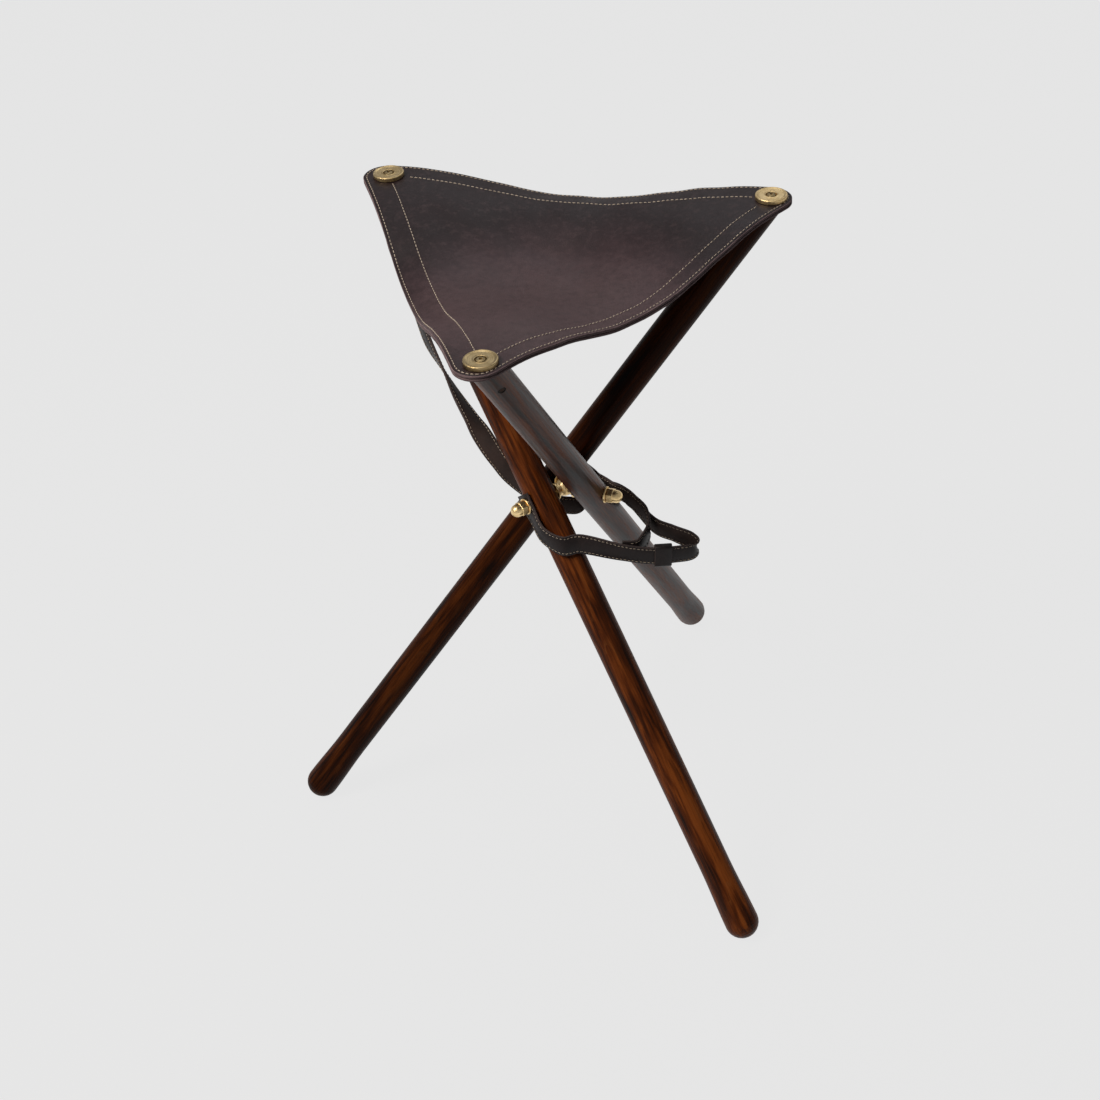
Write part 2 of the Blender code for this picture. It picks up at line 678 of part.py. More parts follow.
def make_keeper():
    """Leather band round the long strap."""
    run = (KEEPER_TO - KEEPER_FROM).normalized()
    upright = (UP - UP.project(run)).normalized()
    through = run.cross(upright)
    middle = (KEEPER_FROM + KEEPER_TO) / 2
    room = KEEPER_ROOM + KEEPER_THICKNESS / 2
    high = STRAP_WIDTH / 2 + room
    deep = STRAP_THICKNESS / 2 + room
    radius = deep * 0.9
    band = []
    for quarter, (side, level) in enumerate(((1, 1), (-1, 1), (-1, -1), (1, -1))):
        centre = middle + through * side * (deep - radius) + upright * level * (high - radius)
        for step in range(5):
            angle = pi / 2 * (quarter + step / 4)
            band.append(centre + radius * (cos(angle) * through + sin(angle) * upright))
    half = run * KEEPER_LENGTH / 2
    rows = [[point - half for point in band], band, [point + half for point in band]]
    skin("strap_keeper", rows, STOOL, STRAP_LEATHER, KEEPER_THICKNESS, loop_points=True)


for name in ARM_ANGLES:
    make_leg(name)
    make_pivot_hardware(name)
    make_disc(name)
    make_screw(name)
make_bolt()
make_panel()
make_border()
pierce(ribbon("long_strap", long_strap_stops(), STOOL), "front")
pierce(ribbon("strap_tab", tab_stops(), STOOL), "left")
make_keeper()
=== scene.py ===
import json
from math import cos, exp, pi, radians, sin, sqrt

import bmesh
import bpy
from mathutils import Matrix, Vector


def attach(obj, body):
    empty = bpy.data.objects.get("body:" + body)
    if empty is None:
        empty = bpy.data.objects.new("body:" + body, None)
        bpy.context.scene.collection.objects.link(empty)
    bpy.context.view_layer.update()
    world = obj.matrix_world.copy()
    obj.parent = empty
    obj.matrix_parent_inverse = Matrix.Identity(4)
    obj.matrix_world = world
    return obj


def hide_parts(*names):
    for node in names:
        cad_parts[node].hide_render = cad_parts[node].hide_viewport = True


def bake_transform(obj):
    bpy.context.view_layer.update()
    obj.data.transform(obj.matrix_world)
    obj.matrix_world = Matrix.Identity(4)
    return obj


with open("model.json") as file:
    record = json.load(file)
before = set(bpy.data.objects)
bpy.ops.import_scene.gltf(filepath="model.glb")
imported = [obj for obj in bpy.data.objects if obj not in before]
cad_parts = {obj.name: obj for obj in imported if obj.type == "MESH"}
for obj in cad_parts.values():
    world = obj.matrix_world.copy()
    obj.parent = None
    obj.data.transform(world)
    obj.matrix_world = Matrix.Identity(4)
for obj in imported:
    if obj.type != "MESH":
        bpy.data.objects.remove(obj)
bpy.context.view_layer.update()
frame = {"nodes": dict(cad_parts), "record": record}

# Sizes and places repeated from the part's source
UP = Vector((0, 0, 1))
HUB = Vector(frame["record"]["behaviour"]["joints"][0]["pos_m"])
TILT = radians(37.85)
LEG_RADIUS = 0.015
PIVOT_OFFSET = 0.027
LEG_TO_DISC = 0.336
DOWEL_DROP = 0.034
DOWEL_TURN = 46.0
GAP = 0.0003
DISC_THICKNESS = 0.0042
PANEL_THICKNESS = 0.0026
BORDER_THICKNESS = 0.0024
CORNER_RADIUS = 0.0215
BORDER_LAP = 0.004
BORDER_INNER_RADIUS = 0.014
EDGE_SAG = 0.029
CORNER_FLAT = 0.0205
SAG_REACH = 0.250
LIFT_REACH = 0.090
SEAT_SET_OVER = 0.0025
SEAT_SET_BACK = 0.0022
# Shares of the edge sag, for the edge across from each leg's corner
EDGE_LIFT = {"left": 0.0, "front": 0.0, "rear": 0.45}
EDGE_DROOP = {"left": 0.20, "front": -0.14, "rear": 0.12}
# Straps and the holes in the leather
STRAP_WIDTH = 0.019
STRAP_THICKNESS = 0.0024
STRAP_STANDOFF = 0.0020
STRAP_SEWN_IN = 0.009
SEWN_ROOM = 0.0010
STUD_HOLE = 0.0043
SCREW_HOLE = 0.0028
KEEPER_LENGTH = 0.0165
KEEPER_THICKNESS = 0.0020
KEEPER_ROOM = 0.0008
# Step of the straps' routes: a millimetre at this length of leg
ROUTE_STEP = LEG_TO_DISC / 336
ARM_ANGLES = {"left": 90.0, "front": 210.0, "rear": 330.0}
DISC_MIDDLE = HUB.z + LEG_TO_DISC * cos(TILT)
PANEL_MIDDLE = DISC_MIDDLE - DISC_THICKNESS / 2 - GAP - PANEL_THICKNESS / 2
BORDER_OFFSET = PANEL_THICKNESS / 2 + GAP + BORDER_THICKNESS / 2


def arm(leg):
    """Direction of the bolt's arm that a leg turns on."""
    angle = radians(ARM_ANGLES[leg])
    return Vector((cos(angle), sin(angle), 0))


def lean(leg):
    """Level direction that a leg's head leans towards."""
    return arm(leg).cross(UP)


def along_leg(leg):
    return cos(TILT) * UP + sin(TILT) * lean(leg)


def on_axis(leg, distance):
    """Point on an open leg's axis, from its pivot towards its head."""
    return HUB + PIVOT_OFFSET * arm(leg) + distance * along_leg(leg)


def beside(leg, distance, turn, clear=STRAP_STANDOFF):
    """Point beside an open leg: turn 0 is the arm's side, 90 the side that faces down at the head."""
    under = cos(TILT) * lean(leg) - sin(TILT) * UP
    side = cos(radians(turn)) * arm(leg) + sin(radians(turn)) * under
    return on_axis(leg, distance) + (LEG_RADIUS + clear) * side


def on_stud(leg, ahead, above):
    """Point of a strap that lies against a leg's outer side, in route steps from the leg's nut."""
    return beside(leg, 0, 0) + ROUTE_STEP * (ahead * lean(leg) + above * UP)


def past_leg(leg, distance, turn, clear):
    """Point of a strap that passes a leg, with the distances in route steps."""
    return beside(leg, ROUTE_STEP * distance, turn, ROUTE_STEP * clear)


def from_hub(x, y, z):
    """Point in route steps from the middle of the bolt."""
    return HUB + ROUTE_STEP * Vector((x, y, z))


AXIS = HUB.to_2d()
CORNERS = {leg: on_axis(leg, LEG_TO_DISC) for leg in ARM_ANGLES}
PLAN_CORNERS = {leg: corner.to_2d() - AXIS for leg, corner in CORNERS.items()}
OUTWARD = {leg: corner.normalized() for leg, corner in PLAN_CORNERS.items()}
SIDE_LENGTH = PLAN_CORNERS["left"].length * sqrt(3)


# Materials

# Places of a Mix node's colour sockets, whose names are not unique
MIX_FIRST, MIX_SECOND, MIX_RESULT = 6, 7, 2


def tint(colour, share=1.0):
    """A colour, made darker or paler, with the alpha that a socket wants."""
    return (*(share * part for part in colour), 1)


class Nodes:
    """Short calls for building a material's nodes."""

    def __init__(self, name):
        self.material = bpy.data.materials.new(name)
        self.material.use_nodes = True
        self.tree = self.material.node_tree
        self.shader = self.tree.nodes["Principled BSDF"]

    def add(self, kind, **values):
        node = self.tree.nodes.new(kind)
        for key, value in values.items():
            setattr(node, key, value)
        return node

    def feed(self, socket, value):
        if isinstance(value, bpy.types.NodeSocket):
            self.tree.links.new(value, socket)
        else:
            socket.default_value = value

    def coords(self, rotation=(0, 0, 0), scale=(1, 1, 1), location=(0, 0, 0)):
        """Place on the object, measured along turned and stretched axes."""
        place = self.add("ShaderNodeTexCoord").outputs["Object"]
        mapping = self.add("ShaderNodeMapping", vector_type="TEXTURE")
        self.feed(mapping.inputs["Vector"], place)
        mapping.inputs["Location"].default_value = location
        mapping.inputs["Rotation"].default_value = rotation
        mapping.inputs["Scale"].default_value = scale
        return mapping.outputs["Vector"]

    def noise(self, vector, scale, detail=4.0, roughness=0.55, distortion=0.0):
        node = self.add("ShaderNodeTexNoise")
        self.feed(node.inputs["Vector"], vector)
        node.inputs["Scale"].default_value = scale
        node.inputs["Detail"].default_value = detail
        node.inputs["Roughness"].default_value = roughness
        node.inputs["Distortion"].default_value = distortion
        return node.outputs["Fac"]

    def cells(self, vector, scale):
        node = self.add("ShaderNodeTexVoronoi", feature="DISTANCE_TO_EDGE")
        self.feed(node.inputs["Vector"], vector)
        node.inputs["Scale"].default_value = scale
        return node.outputs["Distance"]

    def span(self, value, low, high, to_low=0.0, to_high=1.0):
        """A value carried from one range to another, and held at its ends."""
        node = self.add("ShaderNodeMapRange")
        for socket, entry in zip(node.inputs, (value, low, high, to_low, to_high)):
            self.feed(socket, entry)
        return node.outputs["Result"]

    def ramp(self, value, stops):
        node = self.add("ShaderNodeValToRGB")
        self.feed(node.inputs["Fac"], value)
        elements = node.color_ramp.elements
        while len(elements) < len(stops):
            elements.new(0.5)
        for element, (position, colour) in zip(elements, stops):
            element.position = position
            element.color = tint(colour)
        return node.outputs["Color"]

    def mix(self, share, first, second):
        node = self.add("ShaderNodeMix", data_type="RGBA")
        self.feed(node.inputs["Factor"], share)
        self.feed(node.inputs[MIX_FIRST], first)
        self.feed(node.inputs[MIX_SECOND], second)
        return node.outputs[MIX_RESULT]

    def maths(self, operation, first, second=0.0):
        node = self.add("ShaderNodeMath", operation=operation)
        self.feed(node.inputs[0], first)
        self.feed(node.inputs[1], second)
        return node.outputs[0]

    def radius(self, centre, axis):
        """Distance from a line through the centre."""
        turn = UP.rotation_difference(axis).to_euler()
        flat = self.add("ShaderNodeVectorMath", operation="MULTIPLY")
        self.feed(flat.inputs[0], self.coords(rotation=turn, location=centre))
        self.feed(flat.inputs[1], (1, 1, 0))
        length = self.add("ShaderNodeVectorMath", operation="LENGTH")
        self.feed(length.inputs[0], flat.outputs[0])
        return length.outputs["Value"]

    def bump(self, height, strength, distance, normal=None):
        node = self.add("ShaderNodeBump")
        node.inputs["Strength"].default_value = strength
        node.inputs["Distance"].default_value = distance
        self.feed(node.inputs["Height"], height)
        if normal is not None:
            self.feed(node.inputs["Normal"], normal)
        return node.outputs["Normal"]

    def finish(self, **inputs):
        for key, value in inputs.items():
            self.feed(self.shader.inputs[key.replace("_", " ")], value)
        return self.material


STAIN = (
    (0.36, (0.0060, 0.0018, 0.0006)),
    (0.44, (0.0350, 0.0080, 0.0018)),
    (0.51, (0.0950, 0.0215, 0.0042)),
    (0.60, (0.2100, 0.0540, 0.0100)),
)
RING_LINE = (0.200, 0.066, 0.018)
OPEN_PORE = (0.004, 0.002, 0.001)
RING_COUNT = 7.0
FIBRE_STRETCH, BAND_STRETCH, PORE_STRETCH = 16, 11, 26


def wood(name, direction, shift, shade, gloss, coat):
    """Dark stained beech with its grain along one direction; shade scales the stain's colour, one value per
    leg, as painted light and shade.
    """
    n = Nodes(name)
    turn = UP.rotation_difference(direction).to_euler()

    def stretched(length):
        return n.coords(rotation=turn, scale=(1, 1, length), location=shift)

    broad = stretched(BAND_STRETCH)
    streaks = n.noise(stretched(FIBRE_STRETCH), scale=260, detail=6, roughness=0.6)
    bands = n.noise(broad, scale=85, detail=4, distortion=0.9)
    growth = n.noise(broad, scale=42, detail=2, roughness=0.5, distortion=0.3)
    rings = n.maths("FRACT", n.maths("MULTIPLY", growth, RING_COUNT))
    pores = n.noise(stretched(PORE_STRETCH), scale=700, detail=2)
    tone = n.maths("ADD", n.maths("MULTIPLY", bands, 0.55), n.maths("MULTIPLY", streaks, 0.45))
    colour = n.ramp(tone, [(stop, [shade * part for part in stain]) for stop, stain in STAIN])
    line = n.maths("MULTIPLY", n.span(rings, 0.0, 0.16, 1.0, 0.0), n.span(bands, 0.40, 0.60, 0.0, 0.55))
    colour = n.mix(line, colour, tint(RING_LINE, shade))
    colour = n.mix(n.span(pores, 0.56, 0.74, 0.0, 0.6), colour, tint(OPEN_PORE))
    relief = n.maths("SUBTRACT", streaks, n.maths("MULTIPLY", pores, 0.4))
    return n.finish(
        Base_Color=colour,
        Roughness=n.span(streaks, 0.3, 0.7, 0.36, 0.48),
        Normal=n.bump(relief, strength=0.05, distance=0.0006),
        Specular_IOR_Level=gloss,
        Coat_Weight=coat,
        Coat_Roughness=0.26,
        Coat_Normal=n.bump(bands, strength=0.05, distance=0.001),
    )


PLUG_GRAIN = ((0.35, (0.030, 0.012, 0.006)), (0.65, (0.085, 0.036, 0.016)))
PLUG_RIM = (0.003, 0.002, 0.001)
PLUG_RIM_FROM, PLUG_RIM_TO = 0.0020, 0.0026


def plug_wood(name, centre, axis):
    """End grain of a plug, with stain gathered in a dark ring at its rim."""
    n = Nodes(name)
    speckle = n.noise(n.coords(), scale=1400, detail=3)
    rim = n.span(n.radius(centre, axis), PLUG_RIM_FROM, PLUG_RIM_TO)
    return n.finish(
        Base_Color=n.mix(rim, n.ramp(speckle, PLUG_GRAIN), tint(PLUG_RIM)),
        Roughness=n.span(speckle, 0.3, 0.7, 0.5, 0.65),
        Specular_IOR_Level=0.08,
    )


# Distances from the seat's spot: paler near it, partly wear and partly painted highlight; darker far off, as
# painted shade
WORN_AND_HIGHLIGHT_REACH = 0.09, 0.17
PAINTED_SHADE_REACH = 0.135, 0.19
SPOT_EDGE_UNEVENNESS = 0.05


def leather(name, dark, light, worn, grain=1.0, worn_and_lit_spot=None):
    """Oiled leather: pebbled grain and soft mottling; round a given spot it is paler, partly as wear and
    partly as painted highlight, and further off it is darker as painted shade.
    """
    n = Nodes(name)
    place = n.coords()
    cloud = n.noise(place, scale=16, detail=5, roughness=0.6)
    blotch = n.noise(place, scale=150, detail=6, roughness=0.7)
    along = n.coords(rotation=(0, 0, 0.5), scale=(1, 3, 1))
    streak = n.noise(along, scale=40, detail=4, roughness=0.6, distortion=0.4)
    fine = n.noise(place, scale=900, detail=3, roughness=0.6)
    pebble = n.cells(n.coords(location=(0.3, 0.1, 0.7)), scale=620)
    colour = n.mix(n.span(cloud, 0.38, 0.64), tint(dark), tint(light))
    colour = n.mix(n.span(streak, 0.56, 0.74, 0.0, 0.45), colour, tint(worn))
    if worn_and_lit_spot is not None:
        reach = n.add("ShaderNodeVectorMath", operation="DISTANCE")
        n.feed(reach.inputs[0], place)
        n.feed(reach.inputs[1], worn_and_lit_spot)
        away = n.maths("ADD", reach.outputs["Value"], n.maths("MULTIPLY", streak, SPOT_EDGE_UNEVENNESS))
        # Paler near the spot: partly wear, partly painted highlight
        colour = n.mix(n.span(away, *WORN_AND_HIGHLIGHT_REACH, 0.65, 0.0), colour, tint(worn))
        # Darker far from the spot, towards the seat's far edges: painted shade
        colour = n.mix(n.span(away, *PAINTED_SHADE_REACH, 0.0, 0.90), colour, tint(dark, 0.25))
    colour = n.mix(n.span(blotch, 0.34, 0.50, 0.36, 0.0), colour, tint(dark, 0.5))
    colour = n.mix(n.span(blotch, 0.50, 0.68, 0.0, 0.18), colour, tint(worn, 1.5))
    colour = n.mix(n.span(fine, 0.35, 0.5, 0.35, 0.0), colour, tint(dark, 0.45))
    normal = n.bump(n.span(pebble, 0.0, 0.25), strength=0.20 * grain, distance=0.0003)
    normal = n.bump(fine, strength=0.18 * grain, distance=0.0003, normal=normal)
    normal = n.bump(streak, strength=0.12 * grain, distance=0.002, normal=normal)
    wear = n.maths("ADD", cloud, n.maths("MULTIPLY", fine, 0.4))
    return n.finish(
        Base_Color=colour,
        Roughness=n.span(wear, 0.45, 0.95, 0.36, 0.52),
        Normal=normal,
        Specular_IOR_Level=0.22,
    )


def suede(name, dark, light):
    """Raw edge or flesh side of leather."""
    n = Nodes(name)
    place = n.coords()
    nap = n.noise(place, scale=1300, detail=4, roughness=0.65)
    cloud = n.noise(place, scale=60, detail=3)
    return n.finish(
        Base_Color=n.mix(n.span(n.maths("ADD", nap, cloud), 0.8, 1.2), tint(dark), tint(light)),
        Roughness=n.span(nap, 0.3, 0.7, 0.72, 0.9),
        Normal=n.bump(nap, strength=0.4, distance=0.0004),
    )


THREAD_COLOURS = ((0.3, (0.36, 0.27, 0.20)), (0.7, (0.70, 0.60, 0.49)))


def thread():
    n = Nodes("waxed_thread")
    twist = n.noise(n.coords(), scale=2600, detail=2)
    return n.finish(
        Base_Color=n.ramp(twist, THREAD_COLOURS),
        Roughness=n.span(twist, 0.3, 0.7, 0.55, 0.75),
        Normal=n.bump(twist, strength=0.5, distance=0.0003),
    )


CLEAN_BRASS = (0.90, 0.68, 0.36)
DULL_BRASS = (0.66, 0.47, 0.22)
TURNING_PITCH = 0.0016


def brass(name, sheen=(0.36, 0.50), centre=None, axis=None, bright=1.0):
    """Worn brass; with a centre, turned marks run round it."""
    n = Nodes(name)
    place = n.coords()
    tarnish = n.noise(place, scale=120, detail=5, roughness=0.6)
    specks = n.noise(place, scale=1500, detail=3)
    colour = n.mix(n.span(tarnish, 0.40, 0.68), tint(CLEAN_BRASS, bright), tint(DULL_BRASS, bright))
    wear = n.maths("ADD", tarnish, n.maths("MULTIPLY", specks, 0.5))
    normal = n.bump(specks, strength=0.05, distance=0.0003)
    if centre is not None:
        marks = n.maths("SINE", n.maths("MULTIPLY", n.radius(centre, axis), 2 * pi / TURNING_PITCH))
        normal = n.bump(marks, strength=0.16, distance=0.00012, normal=normal)
    return n.finish(
        Base_Color=colour,
        Roughness=n.span(wear, 0.5, 1.0, *sheen),
        Metallic=1.0,
        Normal=normal,
    )


# Spot near the seat's middle, towards the front: paler round it as wear and painted highlight, darker far
# from it as painted shade
SEAT_WORN_AND_LIT_SPOT = (AXIS.x - 0.02, AXIS.y - 0.08, PANEL_MIDDLE - 0.025)
SEAT_GRAIN = leather(
    "seat_grain",
    dark=(0.036, 0.018, 0.021),
    light=(0.060, 0.035, 0.040),
    worn=(0.088, 0.053, 0.055),
    worn_and_lit_spot=SEAT_WORN_AND_LIT_SPOT,
)
SEAT_FLESH = suede("seat_flesh", dark=(0.040, 0.022, 0.017), light=(0.080, 0.048, 0.038))
RAW_EDGE = suede("raw_edge", dark=(0.115, 0.073, 0.078), light=(0.255, 0.175, 0.180))
STRAP_GRAIN = leather(
    "strap_grain",
    dark=(0.013, 0.009, 0.009),
    light=(0.026, 0.018, 0.018),
    worn=(0.038, 0.025, 0.022),
    grain=0.8,
)
STRAP_FLESH = suede("strap_flesh", dark=(0.018, 0.009, 0.007), light=(0.040, 0.021, 0.016))
STRAP_EDGE = suede("strap_edge", dark=(0.036, 0.024, 0.023), light=(0.090, 0.062, 0.058))
THREAD = thread()


# Mesh helpers

# Material slots of every leather piece
GRAIN, FLESH, EDGE, SEWN = range(4)


def new_piece(name, bm, materials):
    mesh = bpy.data.meshes.new(name)
    bm.to_mesh(mesh)
    for material in materials:
        mesh.materials.append(material)
    obj = bpy.data.objects.new(name, mesh)
    bpy.context.scene.collection.objects.link(obj)
    return obj


SHARP_ANGLE = radians(50)


def smooth_by_angle(obj):
    obj.data.set_sharp_from_angle(angle=SHARP_ANGLE)


def add_rows(bm, rows, slots, loop_rows=False, loop_points=True):
    """Faces between rows of points; slots names the material of each band."""
    grid = [[bm.verts.new(point) for point in row] for row in rows]
    bands = list(zip(grid, grid[1:] + grid[:1]))
    if not loop_rows:
        bands.pop()
    for (first, second), slot in zip(bands, slots):
        count = len(first)
        for i in range(count if loop_points else count - 1):
            j = (i + 1) % count
            face = bm.faces.new((first[i], first[j], second[j], second[i]))
            face.material_index = slot
            face.smooth = True
    return grid


# Rings of a stitch: share of its length, height and fatness in thread radii
STITCH_RINGS = (
    (0.00, -0.90, 0.55),
    (0.14, 0.15, 0.95),
    (0.50, 0.42, 1.00),
    (0.86, 0.15, 0.95),
    (1.00, -0.90, 0.55),
)
THREAD_SIDES = 6


def add_stitch(bm, start, end, normal, radius):
    """One stitch: a thread that rises out of the leather and goes back in."""
    run = (end - start).normalized()
    side = run.cross(normal).normalized()
    rings = []
    for share, lift, fat in STITCH_RINGS:
        centre = start.lerp(end, share) + normal * lift * radius
        ring = []
        for k in range(THREAD_SIDES):
            turn = k * 2 * pi / THREAD_SIDES
            ring.append(bm.verts.new(centre + radius * fat * (cos(turn) * side + sin(turn) * normal)))
        rings.append(ring)
    faces = []
    for first, second in zip(rings, rings[1:]):
        for k in range(THREAD_SIDES):
            j = (k + 1) % THREAD_SIDES
            faces.append(bm.faces.new((first[k], first[j], second[j], second[k])))
    faces.append(bm.faces.new(rings[0][::-1]))
    faces.append(bm.faces.new(rings[-1]))
    for face in faces:
        face.material_index = SEWN
        face.smooth = True


def walk(points, pitch):
    """Evenly spaced points along a line of points."""
    spots = [points[0]]
    left = pitch
    for a, b in zip(points, points[1:]):
        length = (b - a).length
        done = 0.0
        while length - done >= left:
            done += left
            spots.append(a.lerp(b, done / length))
            left = pitch
        left -= length - done
    return spots


HOLE_SIDES = 24


def cut_holes(bm, holes):
    """The same body with round holes, each a place, a direction, a radius and a length."""
    mesh = bpy.data.meshes.new("uncut")
    bmesh.ops.recalc_face_normals(bm, faces=bm.faces)
    bm.to_mesh(mesh)
    obj = bpy.data.objects.new("uncut", mesh)
    bpy.context.scene.collection.objects.link(obj)
    cutters = []
    for place, direction, radius, length in holes:
        tool = bmesh.new()
        bmesh.ops.create_cone(
            tool, cap_ends=True, segments=HOLE_SIDES, radius1=radius, radius2=radius, depth=length,
        )
        tool_mesh = bpy.data.meshes.new("drill")
        tool.to_mesh(tool_mesh)
        tool.free()
        cutter = bpy.data.objects.new("drill", tool_mesh)
        turn = UP.rotation_difference(direction).to_matrix().to_4x4()
        cutter.matrix_world = Matrix.Translation(place) @ turn
        bpy.context.scene.collection.objects.link(cutter)
        cutters.append(cutter)
        modifier = obj.modifiers.new("hole", "BOOLEAN")
        modifier.solver = "EXACT"
        modifier.object = cutter
    bpy.context.view_layer.update()
    depsgraph = bpy.context.evaluated_depsgraph_get()
    cut = bpy.data.meshes.new_from_object(obj.evaluated_get(depsgraph))
    for cutter in cutters:
        bpy.data.objects.remove(cutter, do_unlink=True)
    bpy.data.objects.remove(obj, do_unlink=True)
    bm.free()
    result = bmesh.new()
    result.from_mesh(cut)
    return result


# Leather seat

def ease(t):
    t = min(max(t, 0.0), 1.0)
    return t * t * (3 - 2 * t)


def corner_hold(distance):
    """Share of a corner's height that the leather keeps at a distance from it."""
    return 1 - ease((distance - CORNER_FLAT) / (SAG_REACH - CORNER_FLAT))


SAG_DEPTH = EDGE_SAG / (1 - 2 * corner_hold(SIDE_LENGTH / 2))


def seat_drop(x, y):
    """How far the leather hangs below its level corners."""
    here = Vector((x, y))
    held = sum(corner_hold((here - corner).length) for corner in PLAN_CORNERS.values())
    drop = SAG_DEPTH * (1 - held)
    for leg, outward in OUTWARD.items():
        beyond = -here.dot(outward) - SIDE_LENGTH / sqrt(12)
        along = -outward.cross(here) / (SIDE_LENGTH / 2 - 2 * CORNER_FLAT)
        swell = max(0.0, 1 - along * along) ** 2
        bend = (beyond + sqrt(beyond**2 + BORDER_LAP**2)) / 2 / CORNER_RADIUS
        drop += EDGE_SAG * swell * (EDGE_DROOP[leg] * bend - EDGE_LIFT[leg] * ease(1 + beyond / LIFT_REACH))
    return drop


RIDGE_HEIGHT = {"front": 0.0019, "left": 0.0011, "rear": 0.0008}
RIDGE_WIDTH = 0.019
RIDGE_START, RIDGE_RISE = -0.03, 0.07
RIDGE_END, RIDGE_FADE = 0.19, 0.08
CALM_RADIUS, CALM_FADE = 0.024, 0.05
# Waves of the hide: a height, then radians per metre along x and y and a start, for a sine and a cosine
HIDE_WAVES = (
    (0.0006, (71, 23, 1.0), (-31, 57, 0.0)),
    (0.0003, (140, -95, 0.0), (60, 125, 0.6)),
)


def seat_ripple(x, y):
    """Pulls that run in from the discs and a slow unevenness of the hide, as a height."""
    here = Vector((x, y))
    height = 0.0
    calm = 1.0
    for leg, outward in OUTWARD.items():
        along = here.dot(outward)
        aside = outward.cross(here)
        run = ease((along - RIDGE_START) / RIDGE_RISE) * ease((RIDGE_END - along) / RIDGE_FADE)
        height += RIDGE_HEIGHT[leg] * run * exp(-(aside / RIDGE_WIDTH) ** 2)
        calm *= ease(((here - PLAN_CORNERS[leg]).length - CALM_RADIUS) / CALM_FADE)
    for size, first, second in HIDE_WAVES:
        phases = [along_x * x + along_y * y + start for along_x, along_y, start in (first, second)]
        height += size * sin(phases[0]) * cos(phases[1])
    return height * calm


def seat_fall(x, y):
    """The drop with the ripples that only the scene has."""
    return seat_drop(x, y) - seat_ripple(x, y)


SLOPE_STEP = 0.0005
UPRIGHT_REACH = 0.02


def seat_normal(point):
    x, y = point
    step = SLOPE_STEP
    slope_x = (seat_fall(x - step, y) - seat_fall(x + step, y)) / (2 * step)
    slope_y = (seat_fall(x, y - step) - seat_fall(x, y + step)) / (2 * step)
    return Vector((-slope_x, -slope_y, 1)).normalized()


def seat_point(point, below=0.0):
    """Point of the sagging leather, from a plan point measured from the stool's axis.

    Near the axis the thickness is upright, so that the middle points of all layers lie over each other.
    """
    x, y = point
    here = Vector((x + AXIS.x, y + AXIS.y, PANEL_MIDDLE - seat_fall(x, y)))
    through = UP.lerp(seat_normal(point), ease(Vector((x, y)).length / UPRIGHT_REACH))
    return here - below * through.normalized()


CORNER_STEPS = 16
SIDE_STEPS = 44


def seat_outline(inset, radius):
    """Rounded triangle in plan, set in from the lines between the discs, with corners of one radius."""
    corners = []
    shift = (SEAT_SET_BACK * arm("left") - SEAT_SET_OVER * lean("left")).to_2d()
    for leg, corner in PLAN_CORNERS.items():
        centre = corner + shift - 2 * (inset + radius) * OUTWARD[leg]
        turns = [radians(-60 + 120 * i / CORNER_STEPS) for i in range(CORNER_STEPS + 1)]
        corners.append([centre + radius * (Matrix.Rotation(turn, 2) @ OUTWARD[leg]) for turn in turns])
    points = []
    for this, following in zip(corners, corners[1:] + corners[:1]):
        points += this
        points += [this[-1].lerp(following[0], i / SIDE_STEPS) for i in range(1, SIDE_STEPS)]
    return points


def lerp_rows(outer, inner, shares):
    return [[a.lerp(b, share) for a, b in zip(outer, inner)] for share in shares]


LEATHER_EDGE = 0.0005
MARGIN_SHARES = (0, 0.15, 0.32, 0.5, 0.68, 0.85, 1)
MIDDLE_SHARES = [i / 10 for i in range(9, -1, -1)]
MERGE_DISTANCE = 0.00001
HOLE_REACH = 0.06


def layer_rows(plan, below):
    return [[seat_point(point, below) for point in row] for row in plan]


def rim_rows(outline, levels):
    return [[seat_point(point, below) for point in outline] for below in levels]


